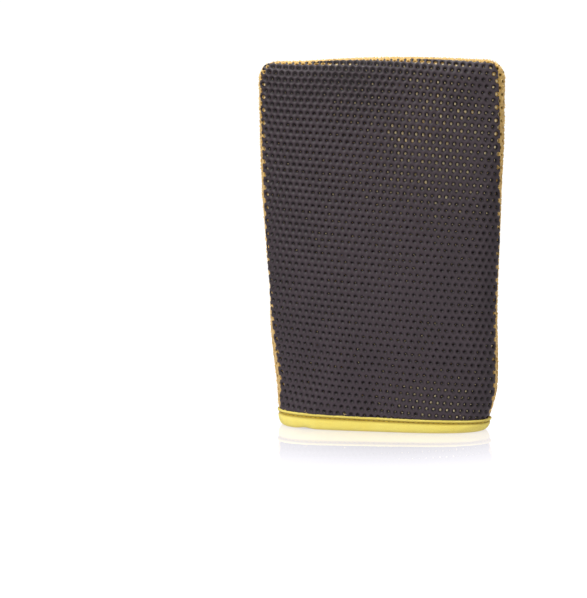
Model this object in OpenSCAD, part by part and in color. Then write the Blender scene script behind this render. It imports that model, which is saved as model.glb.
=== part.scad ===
// Clay mitt: a padded pouch for a hand, worn mouth down here so that it stands on its bound cuff.
// The front panel carries a moulded clay-polymer coat on a knitted mesh, the back panel is the bare mesh.
// +Z runs from the cuff to the closed end and -Y is the clay side.
// The origin is under the middle of the cuff, at its lower edge.

/* [Pouch] */
// Height from the cuff's lower edge to the closed end
mitt_height = 240; // [180:1:300]
// Width across the closed end
mitt_width = 158; // [125:1:190]
// Width of the body where it reaches the cuff, before the binding gathers it
mouth_width = 145; // [110:1:160]
// Depth of the opened mouth, front to back
mouth_depth = 44; // [36:1:60]
// Depth near the closed end, front to back
closed_depth = 19; // [16:1:26]
// Extra depth of the belly on each side
belly = 3; // [0:0.5:5]
// Length at the closed end where the sides run straight
straight_top = 50; // [20:1:90]
// Radius of the two corners at the closed end
corner_radius = 12; // [11:0.5:24]
// How much narrower the binding pulls the mouth
waist_pull = 13.5; // [0:0.5:18]
// How far sideways the belly hangs over the cuff
belly_shift = 3.5; // [-4:0.5:4]

/* [Layers] */
// Thickness of the clay-polymer coat
clay_thickness = 1.2; // [0.8:0.1:2]
// Thickness of the knitted mesh
mesh_thickness = 1.2; // [0.8:0.1:2]
// Thickness of the foam pad
pad_thickness = 3.5; // [2:0.1:4.5]
// Thickness of the lining cloth
lining_thickness = 0.5; // [0.3:0.1:0.8]
// Seam allowance of the mesh panels, turned inwards
mesh_allowance = 3.5; // [2.5:0.1:4]
// Width of the pads' edges that meet at the side seams
pad_edge = 3.5; // [2:0.1:4]
// Seam allowance of the lining
lining_allowance = 2.5; // [1.5:0.1:3]
// Height of the clay coat's lower edge above the cuff
clay_rise = 0.6; // [0.4:0.1:4]
// Gap between the two halves where the seam thread runs
seam_gap = 0.7; // [0.6:0.05:1]

/* [Cuff] */
// Height of the binding tape on each side of the mouth
binding_height = 10; // [8:0.5:14]
// Thickness of the binding tape
tape_thickness = 0.8; // [0.5:0.1:1.2]
// How far the tape puffs out below its stitches
tape_puff = 0.8; // [0.2:0.1:1.2]
// Distance from the tape's edge to its row of stitches
edge_to_stitch = 2.8; // [2:0.1:3.6]
// Share of their full thickness that the layers keep inside the binding
squeeze = 0.7; // [0.6:0.05:0.9]

/* [Thread] */
// Diameter of the sewing thread
thread_diameter = 0.5; // [0.3:0.05:0.55]
// Length of one stitch with its gap
stitch_pitch = 3.2; // [2.4:0.1:4]
// Gap between two stitches
stitch_gap = 0.7; // [0.5:0.1:1.2]

/* [Hidden] */

columns = 24;         // grid steps across a panel
body_rows = 15;       // grid steps from the cuff up to the rounded closed end
cap_rows = 7;         // grid steps over the rounded closed end
waist_reach = 14;     // height over which the binding's pull fades
taper_power = 1.05;
depth_power = 1.1;
closed_roundness = 5; // exponent of the cross-section at the closed end: higher is flatter
mouth_roundness = 2.5;
cap_roundness = 2.6;
squeeze_end = 26;     // height where the layers have their full thickness again
tape_clearance = 0.1; // between the tape's inside and the layers it folds round
thread_bed = 0.2;     // space between a topstitch and the bottom of the tape's groove
mouth_edge = tape_thickness + tape_clearance; // height of the layers' cut edges

// A depth below the outer surface of the mesh: [along x at the seams, along y, along z at the top].
outer_skin = [0, 0, 0];
coat_skin = [-0.6 * clay_thickness, -clay_thickness, -0.25 * clay_thickness];
pad_skin = [mesh_allowance, mesh_thickness, mesh_allowance];
lining_skin = pad_skin + [pad_edge, pad_thickness, pad_edge];
pocket_skin = lining_skin + [lining_allowance, lining_thickness, lining_allowance];

// ---- The pouch's shape ----
function rise(z) = min(max(z / squeeze_end, 0), 1);
function thickness_share(z) = squeeze + (1 - squeeze) * (3 - 2 * rise(z)) * pow(rise(z), 2);
function kept(skin, z) = [skin.x * thickness_share(z), skin.y * thickness_share(z), skin.z];

function taper(z) = pow(max(mitt_height - straight_top - z, 0) / (mitt_height - straight_top), taper_power);
function half_width(z) = (mitt_width - (mitt_width - mouth_width) * taper(z)
                          - waist_pull * exp(-z / waist_reach)) / 2;
function middle_x(z) = belly_shift * exp(-pow((z - 24) / 40, 2)) * rise(z);
function half_depth(z) = closed_depth / 2
    + (mouth_depth - closed_depth) / 2 * pow(max(1 - z / mitt_height, 0), depth_power)
    + belly * sin(180 * pow(min(z / mitt_height, 1), 0.7));

function cap_radius(skin) = corner_radius - skin.z;
function cap_start(skin) = mitt_height - skin.z - cap_radius(skin);
function cap_share(z, skin) = min(max((z - cap_start(skin)) / cap_radius(skin), 0), 1);
function roundness(z) = mouth_roundness + (closed_roundness - mouth_roundness) * z / mitt_height;
function arch(q, z) = sqrt(max(1 - pow(abs(q), roundness(z)), 0));

// Point at the share q (-1 to 1) across the section at height z,
// on the back half's surface that lies a skin below the outside.
function skin_point(q, z, skin) =
    let (inside = kept(skin, z),
         cap = cap_share(z, skin),
         reach = half_width(z) - inside.x - cap_radius(skin) * (1 - sqrt(1 - pow(cap, 2))),
         depth = (half_depth(z) - inside.y) * sqrt(1 - pow(cap, cap_roundness)))
    [middle_x(z) + q * reach, seam_gap / 2 + depth * arch(q, z), z];
function mirrored(p) = [p.x, -p.y, p.z];

// Rows in the cuff lie level with the tape's own edges, so that the two never cross.
// Above it they lie closest to the cuff, and over the closed end they are spaced by angle.
clay_low = binding_height + clay_rise;
stitch_height = binding_height - edge_to_stitch;
cuff_levels = [mouth_edge, stitch_height, binding_height, clay_low];
cuff_rows = len(cuff_levels) - 1;
wall_rows = cuff_rows + body_rows;
rows = wall_rows + cap_rows;
function wall_height(row, skin) = row <= cuff_rows
    ? cuff_levels[row]
    : clay_low + (cap_start(skin) - clay_low) * pow((row - cuff_rows) / body_rows, 1.3);
function row_height(row, skin) = row <= wall_rows
    ? wall_height(row, skin)
    : cap_start(skin) + cap_radius(skin) * sin(90 * (row - wall_rows) / cap_rows);
function across(share) = sin(90 * (2 * share - 1));

// ---- Solids from two grids of points ----
function quad(a, b, c, d) = [[a, b, c], [a, c, d]];
function reversed(faces) = [for (f = faces) [f[2], f[1], f[0]]];
function grid_faces(nu, nv, start) = [
    for (j = [0 : nv - 1]) for (i = [0 : nu - 1])
        let (a = start + j * (nu + 1) + i)
        each quad(a, a + nu + 1, a + nu + 2, a + 1)];
function border(nu, nv) = concat(
    [for (i = [0 : nu - 1]) i],
    [for (j = [0 : nv - 1]) j * (nu + 1) + nu],
    [for (i = [nu : -1 : 1]) nv * (nu + 1) + i],
    [for (j = [nv : -1 : 1]) j * (nu + 1)]);
function rim_faces(nu, nv) =
    let (loop = border(nu, nv), count = len(loop), under = (nu + 1) * (nv + 1))
    [for (k = [0 : count - 1])
        let (a = loop[k], b = loop[(k + 1) % count])
        each quad(a, b, b + under, a + under)];

// Closed solid between two grids that share their layout, the outer one first.
module between(outer, inner, nu, nv) {
    faces = concat(grid_faces(nu, nv, 0), reversed(grid_faces(nu, nv, len(outer))), rim_faces(nu, nv));
    polyhedron(points = concat(outer, inner), faces = reversed(faces), convexity = 8);
}

// Part of a panel's grid, from one row and column to another.
function patch(skin, first_row, last_row, first_column, last_column) = [
    for (row = [first_row : last_row]) for (i = [first_column : last_column])
        skin_point(across(i / columns), row_height(row, skin), skin)];
function panel_grid(skin) = patch(skin, 0, rows, 0, columns);

module panel(outer_depth, inner_depth)
    between(panel_grid(outer_depth), panel_grid(inner_depth), columns, rows);
module front_side() mirror([0, 1, 0]) children();

// ---- Sub-parts ----
// The coat covers the mesh's own grid, less its outermost columns and its last row.
function coat_grid(skin) = patch(skin, cuff_rows, rows - 1, 1, columns - 1);
module clay_face()
    color("dimgray") front_side()
        between(coat_grid(coat_skin), coat_grid(outer_skin), columns - 2, rows - 1 - cuff_rows);

module front_mesh() color("gold") front_side() panel(outer_skin, pad_skin);
module front_pad() color("lemonchiffon") front_side() panel(pad_skin, lining_skin);
module front_lining() color("khaki") front_side() panel(lining_skin, pocket_skin);
module back_mesh() color("gold") panel(outer_skin, pad_skin);
module back_pad() color("lemonchiffon") panel(pad_skin, lining_skin);
module back_lining() color("khaki") panel(lining_skin, pocket_skin);

// Mouth outline at one height: along the front from -X to +X, then back along the other side.
function mouth_ring(z, skin) = concat(
    [for (i = [0 : columns]) mirrored(skin_point(across(i / columns), z, skin))],
    [for (i = [columns : -1 : 0]) skin_point(across(i / columns), z, skin)]);
// The same outline grown outwards by a distance, past the layers' own skins.
function grown(skin, by) = [skin.x - by / thickness_share(0), skin.y - by / thickness_share(0), 0];

// The tape's section as [skin it follows, distance outwards from it, height], once round.
inner_fold = [
    [outer_skin, tape_clearance, mouth_edge - tape_clearance],
    [outer_skin, tape_clearance, stitch_height],
    [outer_skin, tape_clearance, binding_height]];
outer_leg = [
    [outer_skin, tape_clearance + tape_thickness * 0.8, binding_height],
    [outer_skin, tape_clearance + tape_thickness, binding_height - edge_to_stitch * 0.45],
    [outer_skin, tape_clearance + tape_thickness * 0.45, stitch_height],
    [outer_skin, tape_clearance + tape_thickness + tape_puff * 0.8, stitch_height * 0.72],
    [outer_skin, tape_clearance + tape_thickness + tape_puff, stitch_height * 0.42],
    [outer_skin, tape_clearance + tape_thickness + tape_puff * 0.4, stitch_height * 0.13],
    [outer_skin, -0.4, 0]];
function mirrored_leg(leg) = [for (k = [len(leg) - 1 : -1 : 0]) [pocket_skin, -leg[k][1], leg[k][2]]];
tape_section = concat(inner_fold, outer_leg, mirrored_leg(outer_leg), mirrored_leg(inner_fold));

module cuff_binding() {
    section = len(tape_section);
    count = 2 * (columns + 1);
    rings = [for (s = tape_section) mouth_ring(s[2], grown(s[0], s[1]))];
    points = [for (k = [0 : count - 1]) for (m = [0 : section - 1]) rings[m][k]];
    faces = [for (k = [0 : count - 1]) for (m = [0 : section - 1])
        let (next = (k + 1) % count, after = (m + 1) % section)
        each quad(k * section + m, next * section + m, next * section + after, k * section + after)];
    color("yellow") polyhedron(points = points, faces = faces, convexity = 10);
}

// ---- Threads ----
function running_length(path) = [
    for (k = 0, total = 0; k < len(path); k = k + 1,
         total = k < len(path) ? total + norm(path[k] - path[k - 1]) : total) total];
function spread_points(path, pitch) =
    let (along = running_length(path), steps = floor(along[len(path) - 1] / pitch),
         step = along[len(path) - 1] / steps,
         table = [for (axis = [0 : 2]) [for (k = [0 : len(path) - 1]) [along[k], path[k][axis]]]])
    [for (k = [0 : steps]) [for (axis = [0 : 2]) lookup(k * step, table[axis])]];

// One straight stitch from a to b, shortened by half a gap at each end.
module stitch(a, b) {
    run = b - a;
    length = norm(run) - stitch_gap;
    translate(a + run * (stitch_gap / 2) / norm(run))
        rotate([0, acos(run.z / norm(run)), atan2(run.y, run.x)])
            cylinder(d = thread_diameter, h = length, $fn = 16);
}

module stitch_row(path) {
    ends = spread_points(path, stitch_pitch);
    for (k = [0 : len(ends) - 2]) stitch(ends[k], ends[k + 1]);
}

// Path up one side, over the closed end and down the other, in the seam's gap.
seam_start = binding_height + 1;
function seam_path(skin) =
    let (levels = concat([for (z = [seam_start : 4 : cap_start(skin) - 0.5]) z],
                         [for (a = [0 : 6 : 90]) cap_start(skin) + cap_radius(skin) * sin(a)]),
         up = [for (z = levels) let (p = skin_point(-1, z, skin)) [p.x, 0, p.z]],
         down = [for (k = [len(levels) - 1 : -1 : 0])
                 let (p = skin_point(1, levels[k], skin)) [p.x, 0, p.z]])
    concat(up, down);

module shell_seam_thread() color("khaki") stitch_row(seam_path(pad_skin * 0.5));
module lining_seam_thread() color("khaki") stitch_row(seam_path((lining_skin + pocket_skin) / 2));

function stitch_loop(skin, by) =
    let (ring = mouth_ring(stitch_height, grown(skin, by)))
    concat(ring, [ring[0]]);
groove_out = tape_clearance + tape_thickness * 0.45;
bed = thread_diameter / 2 + thread_bed;
module cuff_topstitch() color("goldenrod") stitch_row(stitch_loop(outer_skin, groove_out + bed));
module cuff_inside_stitch() color("goldenrod") stitch_row(stitch_loop(pocket_skin, -groove_out - bed));

clay_face();
front_mesh();
front_pad();
front_lining();
back_mesh();
back_pad();
back_lining();
shell_seam_thread();
lining_seam_thread();
cuff_binding();
cuff_topstitch();
cuff_inside_stitch();
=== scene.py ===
# %% [markdown]
# # A clay mitt, from flat cloth to sewn pouch
#
# A clay mitt cleans car paint. It is a pouch for the hand: a yellow eyelet knit on both sides, foam and a thin
# lining inside, and a grey coat of clay polymer moulded onto the front. The mouth is bound with knitted tape.
#
# The lesson follows the maker's order. Each cloth is first made flat, where its pattern is easy to draw, and is
# then wrapped round the pouch's form. That keeps every eyelet its true size, as real cloth does when it is sewn.

# %% The fixed frame
import math

import bpy
import numpy as np
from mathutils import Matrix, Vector, kdtree, noise


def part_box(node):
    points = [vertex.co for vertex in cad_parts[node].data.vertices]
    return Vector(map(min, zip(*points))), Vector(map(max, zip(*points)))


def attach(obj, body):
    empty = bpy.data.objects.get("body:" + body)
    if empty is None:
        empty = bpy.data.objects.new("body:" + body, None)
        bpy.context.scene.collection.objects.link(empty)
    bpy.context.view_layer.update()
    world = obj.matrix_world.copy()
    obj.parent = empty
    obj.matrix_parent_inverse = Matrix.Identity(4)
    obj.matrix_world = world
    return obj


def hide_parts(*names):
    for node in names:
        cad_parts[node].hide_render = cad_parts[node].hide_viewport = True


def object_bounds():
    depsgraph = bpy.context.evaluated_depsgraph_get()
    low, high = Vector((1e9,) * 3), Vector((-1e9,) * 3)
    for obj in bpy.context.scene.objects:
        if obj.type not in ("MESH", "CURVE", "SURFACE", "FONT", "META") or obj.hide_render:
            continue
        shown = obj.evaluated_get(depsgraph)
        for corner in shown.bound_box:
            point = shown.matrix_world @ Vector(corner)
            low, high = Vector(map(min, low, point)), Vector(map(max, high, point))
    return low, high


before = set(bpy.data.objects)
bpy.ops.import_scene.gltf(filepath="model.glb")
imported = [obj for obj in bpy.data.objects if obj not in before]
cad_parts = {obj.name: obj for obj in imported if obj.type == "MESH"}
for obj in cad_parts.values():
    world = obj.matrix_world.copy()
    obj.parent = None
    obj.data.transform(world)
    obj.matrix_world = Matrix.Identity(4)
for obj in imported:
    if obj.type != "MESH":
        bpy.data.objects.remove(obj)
cad_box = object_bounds()
MM = 0.001
print("The fixed frame has", len(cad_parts), "nodes; its box is", cad_box)


# %% [markdown]
# Operators act on whatever is selected, so each step starts by clearing the selection. `finish_piece` leaves a
# piece with smooth shading and with its place held in its mesh.

# %% Helpers for operators
def select_only(*pieces):
    if bpy.context.object and bpy.context.object.mode != "OBJECT":
        bpy.ops.object.mode_set(mode="OBJECT")
    bpy.ops.object.select_all(action="DESELECT")
    for piece in pieces:
        piece.select_set(True)
    bpy.context.view_layer.objects.active = pieces[0] if pieces else None


def edit(piece, mode="VERT", everything=True):
    select_only(piece)
    bpy.ops.object.mode_set(mode="EDIT")
    bpy.ops.mesh.select_mode(type=mode)
    bpy.ops.mesh.select_all(action="SELECT" if everything else "DESELECT")


def leave_edit():
    bpy.ops.object.mode_set(mode="OBJECT")


def apply_modifiers(piece):
    select_only(piece)
    for modifier in list(piece.modifiers):
        bpy.ops.object.modifier_apply(modifier=modifier.name)


def points_of(piece):
    flat = np.empty(len(piece.data.vertices) * 3)
    piece.data.vertices.foreach_get("co", flat)
    return flat.reshape(-1, 3)


def set_points(piece, points):
    piece.data.vertices.foreach_set("co", np.ascontiguousarray(points, dtype=np.float64).ravel())
    piece.data.update()


def finish_piece(piece, angle=50):
    select_only(piece)
    bpy.ops.object.transform_apply(location=True, rotation=True, scale=True)
    bpy.ops.object.shade_smooth_by_angle(angle=math.radians(angle))
    print(piece.name, "has", sum(len(face.vertices) - 2 for face in piece.data.polygons), "triangles")
    return piece


# %% [markdown]
# ## The studio
#
# A plain white table top fades into a white room. A small key light stands up and to the left, a weaker one
# fills from the right, and two broad ones light the mitt from behind and from above. The room's own light
# softens every shadow. The long lens keeps the mitt's sides nearly parallel.

# %% Table top
bpy.ops.mesh.primitive_plane_add(size=9)
table_top = bpy.context.object
table_top.name = "table_top"
print("The table top is", round(table_top.dimensions.x, 1), "m wide")


# %% [markdown]
# A room as bright as it looks would light the mitt too flatly. Two backgrounds are mixed instead: the camera and
# the table's mirror see white, and the mitt gets a weaker, slightly warm glow.

# %% Room light
def add_node(tree, kind, **values):
    """Adds a shader node. Each value sets the socket of that name, with _ for a space, or else a setting."""
    node = tree.nodes.new("ShaderNode" + kind)
    for name, value in values.items():
        if name.replace("_", " ") in node.inputs:
            node.inputs[name.replace("_", " ")].default_value = value
        else:
            setattr(node, name, value)
    return node


def link(tree, *pairs):
    for source, target in pairs:
        tree.links.new(source, target)


room = bpy.data.worlds.new("white_room")
bpy.context.scene.world = room
room.use_nodes = True
tree = room.node_tree
glow = tree.nodes["Background"]
glow.inputs["Color"].default_value = (1, 0.985, 0.97, 1)
glow.inputs["Strength"].default_value = 0.6
seen = add_node(tree, "Background", Color=(1, 1, 1, 1), Strength=1.05)
path = add_node(tree, "LightPath")
seen_or_mirrored = add_node(tree, "Math", operation="MAXIMUM")
mix = add_node(tree, "MixShader")
link(
    tree,
    (path.outputs["Is Camera Ray"], seen_or_mirrored.inputs[0]),
    (path.outputs["Is Singular Ray"], seen_or_mirrored.inputs[1]),
    (seen_or_mirrored.outputs[0], mix.inputs[0]),
    (glow.outputs[0], mix.inputs[1]),
    (seen.outputs[0], mix.inputs[2]),
    (mix.outputs[0], tree.nodes["World Output"].inputs["Surface"]),
)
print("The room's nodes are", [node.name for node in tree.nodes])

# %% Studio lights
LIGHTS = {  # place, what it aims at, size in metres, power in watts
    "key_light": ((-0.6, -0.7, 1.0), (-0.01, 0, 0.14), 0.36, 17.5),
    "back_light": ((0.35, 1.2, 0.7), (0, 0, 0.12), 0.9, 9),
    "fill_light": ((0.9, -1.1, 0.5), (0, 0, 0.1), 0.9, 6.5),
    "top_light": ((-0.1, 0.35, 1.2), (0, 0, 0.1), 0.9, 16),
}
for name, (place, aim, size, power) in LIGHTS.items():
    bpy.ops.object.light_add(type="AREA", location=place)
    lamp = bpy.context.object
    lamp.name = name
    lamp.data.shape = "DISK"
    lamp.data.size = size
    lamp.data.energy = power
    lamp.rotation_euler = (Vector(aim) - Vector(place)).to_track_quat("-Z", "Y").to_euler()
bpy.context.scene.view_settings.view_transform = "Standard"
print(len(LIGHTS), "lights stand round the table")

# %% Camera
AZIMUTH, ELEVATION, DISTANCE = math.radians(9), math.radians(5.3), 1.5
LENS = 138.4
AIM = Vector((-0.0586, 0, 0.0827))
middle = Vector((0, 0, (cad_box[0][2] + cad_box[1][2]) / 2))
level = math.cos(ELEVATION)
away = Vector((math.sin(AZIMUTH) * level, -math.cos(AZIMUTH) * level, math.sin(ELEVATION)))
bpy.ops.object.camera_add(location=middle + away * DISTANCE)
camera = bpy.context.object
camera.data.lens = LENS
camera.rotation_euler = (AIM - camera.location).to_track_quat("-Z", "Y").to_euler()
bpy.context.scene.camera = camera
print("The camera stands", round(camera.location.length, 2), "m away")

# %% [markdown]
# ## The pouch's form
#
# Two panels are sewn together at the sides and the closed end, and the mouth is held open. The form is worked
# out once, for half a pouch: how wide it is at each height, how deep, and how round its section is. The binding
# gathers the mouth a little, so the sides pull in just above it.

# %% Widths and depths of the form
mesh_low, mesh_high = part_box("front_mesh")
TOP = mesh_high[2]
WIDTH = mesh_high[0] - mesh_low[0]
MOUTH_WIDTH = 145 * MM
CORNER = 12 * MM
SEAM_GAP = 0.7 * MM
WALL_TOP = TOP - CORNER


def bell(value, centre, spread):
    """1 at the centre, fading smoothly to 0 on both sides of it."""
    return np.exp(-(((value - centre) / spread) ** 2))


def rise(z):
    """0 at the mouth's edge, and 1 from a little above the binding."""
    return np.clip(z / (26 * MM), 0, 1)


def squeeze(z):
    """How much of their thickness the layers behind the knit keep: less inside the binding."""
    return 0.7 + 0.3 * (3 - 2 * rise(z)) * rise(z) ** 2


def half_width(z):
    """The sides are straight near the closed end, taper to the mouth and are gathered by the binding."""
    straight, gather = 50 * MM, 13.5 * MM
    taper = (np.clip(TOP - straight - z, 0, None) / (TOP - straight)) ** 1.05
    return (WIDTH - (WIDTH - MOUTH_WIDTH) * taper - gather * np.exp(-z / (14 * MM))) / 2


def half_depth(z):
    """The pouch is shallow at the closed end, deeper at the mouth and a little full in between."""
    closed_end, deeper, full = 9.5 * MM, 12.5 * MM, 3 * MM
    up = np.clip(z / TOP, 0, 1)
    return closed_end + deeper * (1 - up) ** 1.1 + full * np.sin(math.pi * up**0.7)


# %% Where the cloth is pulled, leans and hangs
HALF_STACK = 2.6 * MM
GROOVE = 8.15 * MM


def stitch_pull(z):
    """How far the mouth's stitches pull the cloths together at each height."""
    return 0.45 * MM * bell(z, GROOVE, 1.1 * MM)


def middle_x(z):
    """The pouch's middle line leans a little to the right above the mouth."""
    return 3.5 * MM * bell(z, 24 * MM, 40 * MM) * rise(z) + 1.3 * MM * bell(z, 0, 14 * MM)


def left_bulge(z):
    """The worn left side hangs a little wide of the pattern, most of all near the closed end."""
    heights, bulges = [15, 35, 61, 87, 119, 152, 188, 227], [0, 0.5, 0.5, -0.6, 0.3, 1.5, 1.7, 2.3]
    return np.interp(z / MM, heights, bulges) * MM


def half_form(q, z):
    """Points of half the pouch: q runs from -1 at one side seam to 1 at the other, z is the height."""
    cap = np.clip((z - WALL_TOP) / CORNER, 0, 1)
    reach = half_width(z) - CORNER * (1 - np.sqrt(1 - cap**2))
    depth = half_depth(z) * np.sqrt(np.clip(1 - cap**2.6, 0, 1))
    boxy = 2.5 + 2.5 * z / TOP + (1.1 + 1.6 * np.clip(-4 * q, 0, 1)) * bell(z, 0, 16 * MM)
    arch = np.sqrt(np.clip(1 - np.abs(q) ** boxy, 0, 1))
    across = middle_x(z) + q * reach - left_bulge(z) * np.clip(-q, 0, 1) ** 2
    crown = 1.9 * MM * bell(across, 14 * MM, 48 * MM) - 1.2 * MM
    crown -= 1.1 * MM * bell(across, -62 * MM, 26 * MM)
    crown = crown * np.clip(z / TOP, 0, 1) ** 6
    return np.stack([across, SEAM_GAP / 2 + depth * arch, z + crown], axis=-1)


print("The form is", round(2 * half_width(TOP) / MM), "mm wide and", round(TOP / MM), "mm tall")

# %% [markdown]
# ## Letting the cloth settle
#
# A form drawn by rule looks stiff. Blender's cloth simulation blows the sewn pouch up a little, with the bound
# mouth held still and cloth a shade longer than the form, so the seams pull and the panels swell between them.
# Only the difference from the plain form is kept, and it is held to a few millimetres.

# %% A loop of cloth for the simulation
QUARTER = math.pi / 2
SIM_Q = -np.cos(np.linspace(0, math.pi, 45))
SIM_Z = np.concatenate([np.linspace(0, WALL_TOP, 58), WALL_TOP + CORNER * np.sin(np.linspace(0, QUARTER, 6))[1:]])


def sewn_points():
    q, z = np.meshgrid(SIM_Q, SIM_Z)
    half = half_form(q, z)
    half[..., 1] -= SEAM_GAP / 2
    return half * (1, -1, 1), half


def loop_of_cloth(front, back):
    """Both panels as one loop of cloth, joined at the side seams and the closed end."""
    bpy.ops.mesh.primitive_grid_add(x_subdivisions=2 * len(SIM_Q) - 2, y_subdivisions=len(SIM_Z) - 1, size=1)
    pouch = bpy.context.object
    set_points(pouch, np.concatenate([front, back[:, -2::-1]], axis=1).reshape(-1, 3))
    edit(pouch)
    bpy.ops.mesh.remove_doubles(threshold=1e-6)
    bpy.ops.mesh.normals_make_consistent(inside=False)
    leave_edit()
    return pouch


# %% Blow it up a little
CLOTH = {
    "quality": 6,
    "mass": 0.3,
    "tension_stiffness": 25,
    "compression_stiffness": 25,
    "shear_stiffness": 8,
    "bending_stiffness": 4,
    "shrink_min": -0.006,
    "vertex_group_mass": "held",
    "use_pressure": True,
    "uniform_pressure_force": 1.2,
}
LAST_STEP = 15
HELD_BELOW = 11 * MM


def blown_up(pouch):
    """Where the pouch's points are after a short run, with the bound mouth held still."""
    held = pouch.vertex_groups.new(name="held")
    held.add([int(i) for i in np.flatnonzero(points_of(pouch)[:, 2] < HELD_BELOW)], 1.0, "REPLACE")
    settings = pouch.modifiers.new("cloth", "CLOTH").settings
    for name, value in CLOTH.items():
        setattr(settings, name, value)
    settings.effector_weights.gravity = 0
    scene = bpy.context.scene
    for step in range(1, LAST_STEP + 1):
        scene.frame_set(step)
    settled = pouch.evaluated_get(bpy.context.evaluated_depsgraph_get())
    after = np.array([v.co[:] for v in settled.data.vertices])
    scene.frame_set(1)
    return after


def settle_cloth():
    """How far each of the front's and the back's points moved."""
    front, back = sewn_points()
    pouch = loop_of_cloth(front, back)
    before = points_of(pouch)
    after = blown_up(pouch)
    tree = kdtree.KDTree(len(before))
    for i, point in enumerate(before):
        tree.insert(point, i)
    tree.balance()
    bpy.data.objects.remove(pouch)
    nearest = [[tree.find(point)[1] for point in side.reshape(-1, 3)] for side in (front, back)]
    return [(after[found] - before[found]).reshape(front.shape) for found in nearest]


# %% Run it
settled_front, settled_back = settle_cloth()
for name, moved in (("front", settled_front), ("back", settled_back)):
    print("The", name, "moved up to", round(float(np.linalg.norm(moved, axis=-1).max()) / MM, 1), "mm")

# %% [markdown]
# ## From flat cloth to the form
#
# A table holds, for each place on the flat cloth, where it lies on the pouch. `a` is the distance along the cloth
# to the right of its middle line and `b` the distance up it from the mouth. Past a side seam the cloth folds and
# runs inwards for a few millimetres: that is the seam allowance, which every sewn cloth has.

# %% Distances along a line of points
def distances(line):
    return np.concatenate([[0], np.cumsum(np.linalg.norm(np.diff(line, axis=0), axis=1))])


def points_at(at, along, line):
    """Points between those of the line, where along is the distance of each of the line's own points."""
    return np.stack([np.interp(at, along, line[:, k]) for k in range(line.shape[1])], axis=1)


# %% Rows up the cloth
STEP = 0.5 * MM
ALLOWANCE = 5 * MM
MOST_SHIFT = 2.5 * MM


def limited(moved):
    size = np.linalg.norm(moved, axis=-1, keepdims=True)
    return moved * np.minimum(1, MOST_SHIFT / np.maximum(size, 1e-9))


def softened(q, z, moved):
    """The settled cloth's shift, spread from the simulation's few points to many."""
    along_q = np.stack([[np.interp(q, SIM_Q, row) for row in moved[..., k]] for k in range(3)], axis=-1)
    columns = [[np.interp(z, SIM_Z, along_q[:, i, k]) for i in range(len(q))] for k in range(3)]
    return np.transpose(np.array(columns), (2, 1, 0))


def side_rows(moved, front):
    """Points across one side at even steps up its cloth, those steps, and the cloth's length."""
    q = -np.cos(np.linspace(0, math.pi, 201))
    cap = WALL_TOP + CORNER * np.sin(np.linspace(0, QUARTER, 40))
    z = np.concatenate([np.linspace(-1.5 * MM, WALL_TOP, 470), cap[1:]])
    grid = half_form(*np.meshgrid(q, z))
    if front:
        grid[..., 1] *= -1
    grid = grid + softened(q, z, limited(moved)) * (0.35, 1, 0.35)
    if not front:
        grid = grid[:, ::-1]
    climb = distances(grid[:, 100])
    climb -= np.interp(0, z, climb)
    length = climb[-1]
    b_grid = np.arange(-1 * MM, length + ALLOWANCE, STEP)
    level = np.minimum(b_grid, length)
    rows = np.stack([points_at(level, climb, grid[:, i]) for i in range(grid.shape[1])], axis=1)
    rows[..., 2] -= np.maximum(b_grid - length, 0)[:, None]
    return rows, b_grid, length


# %% Steps across the cloth
A_GRID = np.arange(-105 * MM, 105 * MM + STEP / 2, STEP)


def wrapped_table(rows):
    """Where each place of the flat cloth lies, and how far each seam is from the middle line."""
    d = np.arange(ALLOWANCE, 0, -STEP)
    table = np.empty((len(rows), len(A_GRID), 3))
    left_reach, right_reach = np.empty(len(rows)), np.empty(len(rows))
    turn = np.sign(rows[0, -1, 0] - rows[0, 0, 0])
    run = [np.gradient(seam, axis=0) * (1, 0, 1) for seam in (rows[:, 0], rows[:, -1])]
    run = [r / np.linalg.norm(r, axis=1, keepdims=True) for r in run]
    inward_left = np.stack([run[0][:, 2], 0 * run[0][:, 2], -run[0][:, 0]], axis=1) * turn
    inward_right = np.stack([-run[1][:, 2], 0 * run[1][:, 2], run[1][:, 0]], axis=1) * turn
    for n, row in enumerate(rows):
        s = distances(row)
        s -= s[len(row) // 2]
        left_reach[n], right_reach[n] = -s[0], s[-1]
        left = row[0] + inward_left[n] * d[:, None]
        right = row[-1] + inward_right[n] * d[::-1, None]
        at = np.concatenate([s[0] - d, s, s[-1] + d[::-1]])
        table[n] = points_at(A_GRID, at, np.concatenate([left, row, right]))
    return table, left_reach, right_reach


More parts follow.
